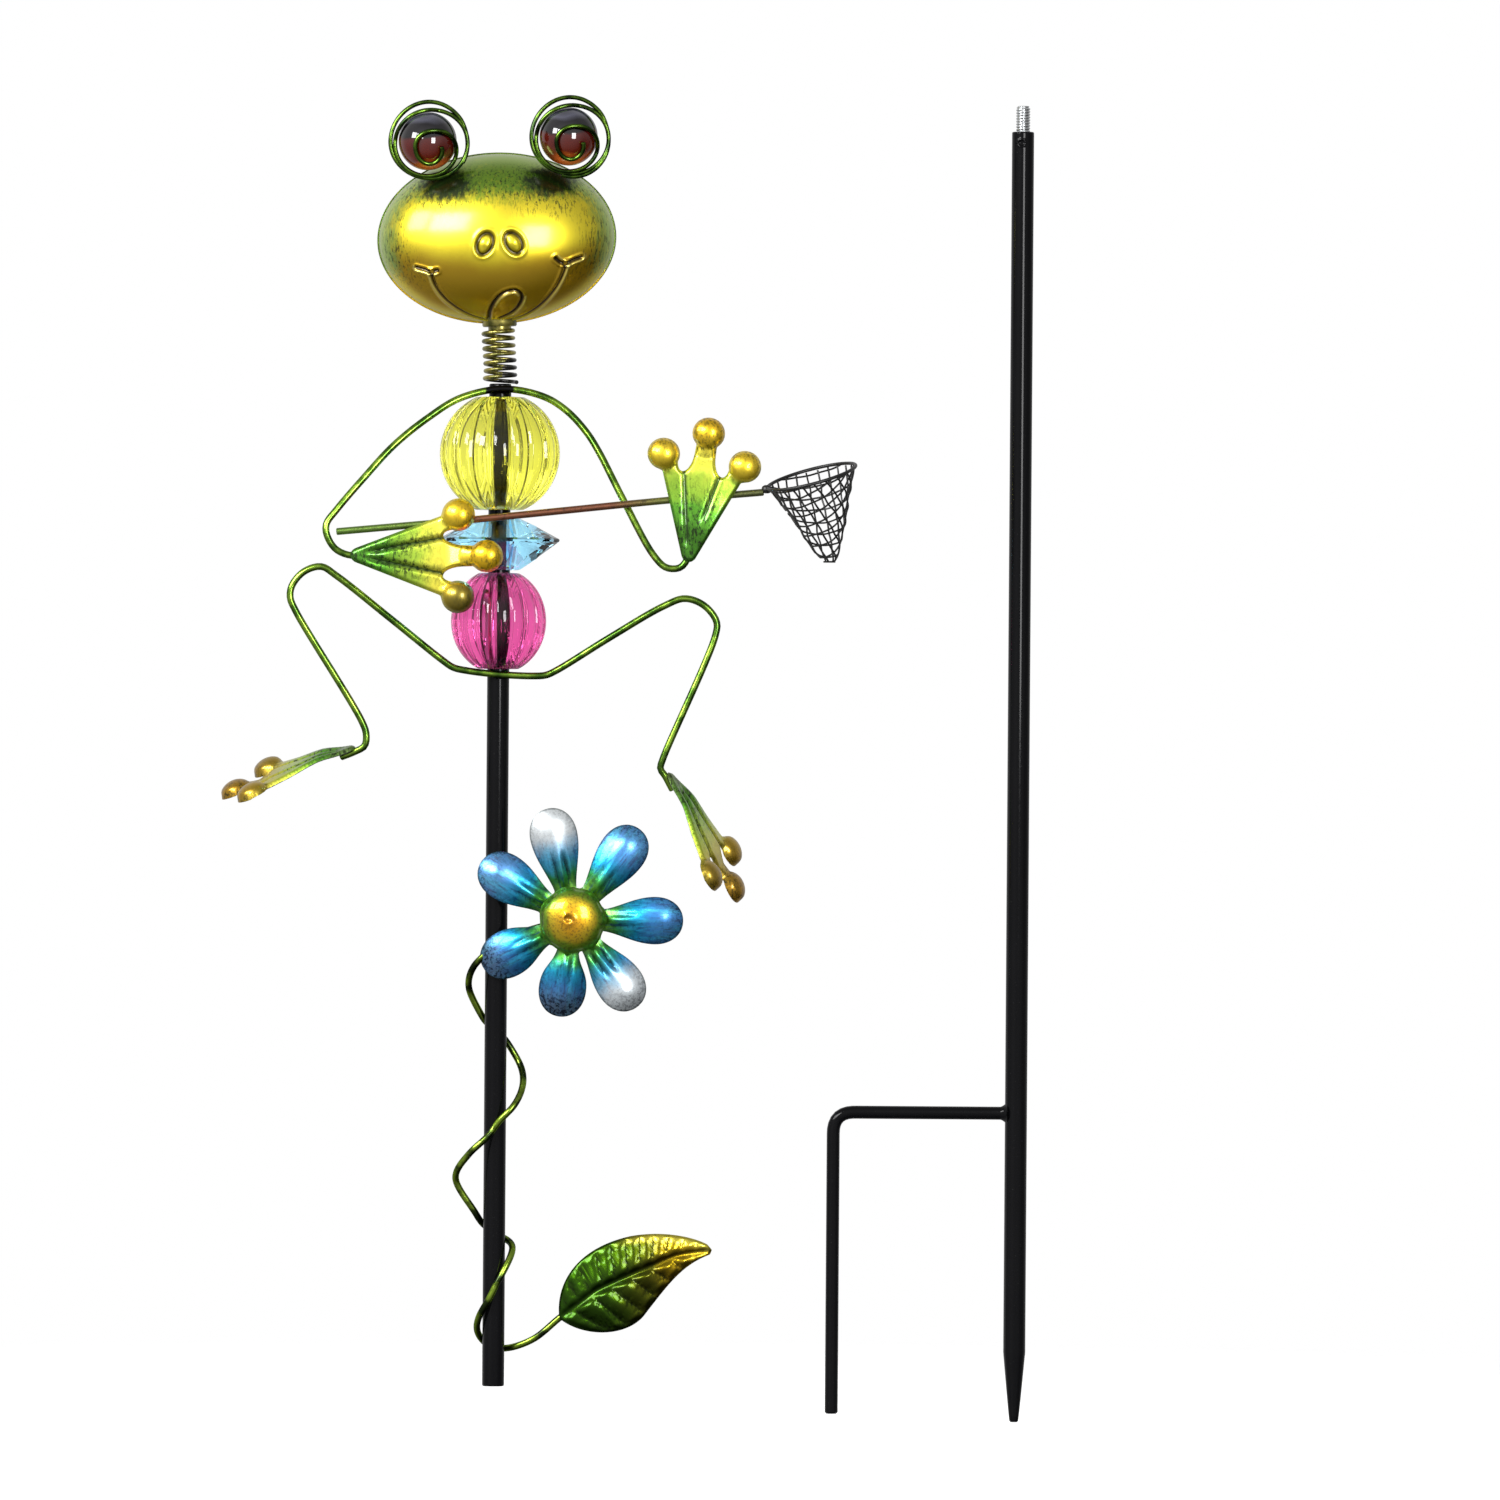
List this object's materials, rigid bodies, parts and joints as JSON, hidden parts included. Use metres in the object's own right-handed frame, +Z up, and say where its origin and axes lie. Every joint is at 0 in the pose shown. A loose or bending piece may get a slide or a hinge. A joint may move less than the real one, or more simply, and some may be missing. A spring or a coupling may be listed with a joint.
{
  "type": "frog garden stake",
  "caption": "Metal garden stake with a wire-limbed frog angler, landing net, bead body, spring neck, flower and leaf vine on an upper pole, laid beside its forked ground stake.",
  "frame": {"origin": "the blunt tip of the ground stake's spike", "axes": "+Z up along both poles, the figure faces -Y, and its pole stands beside the ground stake towards -X"},
  "size_m": [0.3472, 0.0729, 0.569],
  "materials": {
    "black_paint": "gloss black paint",
    "zinc_steel": "bright zinc plate",
    "green_lacquer": "translucent green lacquer on bright steel wire",
    "vine_lacquer": "dark green lacquer on steel wire",
    "stamping_lacquer": "green to gold lacquer with dark speckles",
    "rod_lacquer": "green, copper and olive lacquer along the rod",
    "black_wire": "satin black",
    "leaf_lacquer": "gloss dark green with a gold tip",
    "petal_lacquer": "blue lacquer with bright silver tips and a green root",
    "gold_lacquer": "gold lacquer",
    "yellow_acrylic": "clear yellow, polished",
    "blue_acrylic": "clear light blue, polished",
    "pink_acrylic": "clear magenta, polished",
    "spring_lacquer": "olive lacquer on spring steel",
    "head_lacquer": "gold lacquer fading to green at the rim, dark brushed shading",
    "amber_glass": "clear polished marble glass"
  },
  "bodies": {
    "ground_stake": {"stake_tube": "black_paint", "threaded_stud": "zinc_steel", "fork_prong": "black_paint"},
    "figure": {"figure_pole": "black_paint", "socket_insert": "zinc_steel", "arm_wire": "green_lacquer", "leg_wire": "green_lacquer", "left_hand": "stamping_lacquer", "right_hand": "stamping_lacquer", "left_foot": "stamping_lacquer", "right_foot": "stamping_lacquer", "net_rod": "rod_lacquer", "net_hoop": "black_wire", "net_bag": "black_wire", "vine_wire": "vine_lacquer", "leaf": "leaf_lacquer", "flower_petals": "petal_lacquer", "flower_cap": "gold_lacquer"},
    "upper_bead": {"upper_bead": "yellow_acrylic"},
    "disc_bead": {"disc_bead": "blue_acrylic"},
    "lower_bead": {"lower_bead": "pink_acrylic"},
    "neck": {"neck_spring": "spring_lacquer"},
    "head": {"neck_collar": "head_lacquer", "head_front_shell": "head_lacquer", "head_back_shell": "head_lacquer", "left_marble": "amber_glass", "right_marble": "amber_glass", "left_eye_cage": "green_lacquer", "right_eye_cage": "green_lacquer"}
  },
  "joints": [
    {"name": "figure_setdown", "type": "slide", "parent": "ground_stake", "child": "figure", "axis": [-1, 0, 0], "range_m": [0, 0.15]},
    {"name": "upper_bead_spin", "type": "hinge", "parent": "figure", "child": "upper_bead", "pos_m": [-0.224, 0, 0.4148], "axis": [0, 0, 1], "continuous": true},
    {"name": "disc_bead_spin", "type": "hinge", "parent": "figure", "child": "disc_bead", "pos_m": [-0.224, 0, 0.3776], "axis": [0, 0, 1], "continuous": true},
    {"name": "lower_bead_spin", "type": "hinge", "parent": "figure", "child": "lower_bead", "pos_m": [-0.224, 0, 0.3428], "axis": [0, 0, 1], "continuous": true},
    {"name": "neck_nod", "type": "hinge", "parent": "figure", "child": "neck", "pos_m": [-0.224, 0, 0.4578], "axis": [1, 0, 0], "range_deg": [-20, 20], "stiffness_Nm_per_rad": 1, "deforming": ["neck_spring"]},
    {"name": "head_sway", "type": "hinge", "parent": "neck", "child": "head", "pos_m": [-0.224, 0, 0.4578], "axis": [0, 1, 0], "range_deg": [-20, 20], "stiffness_Nm_per_rad": 1, "deforming": ["neck_spring"]}
  ]
}
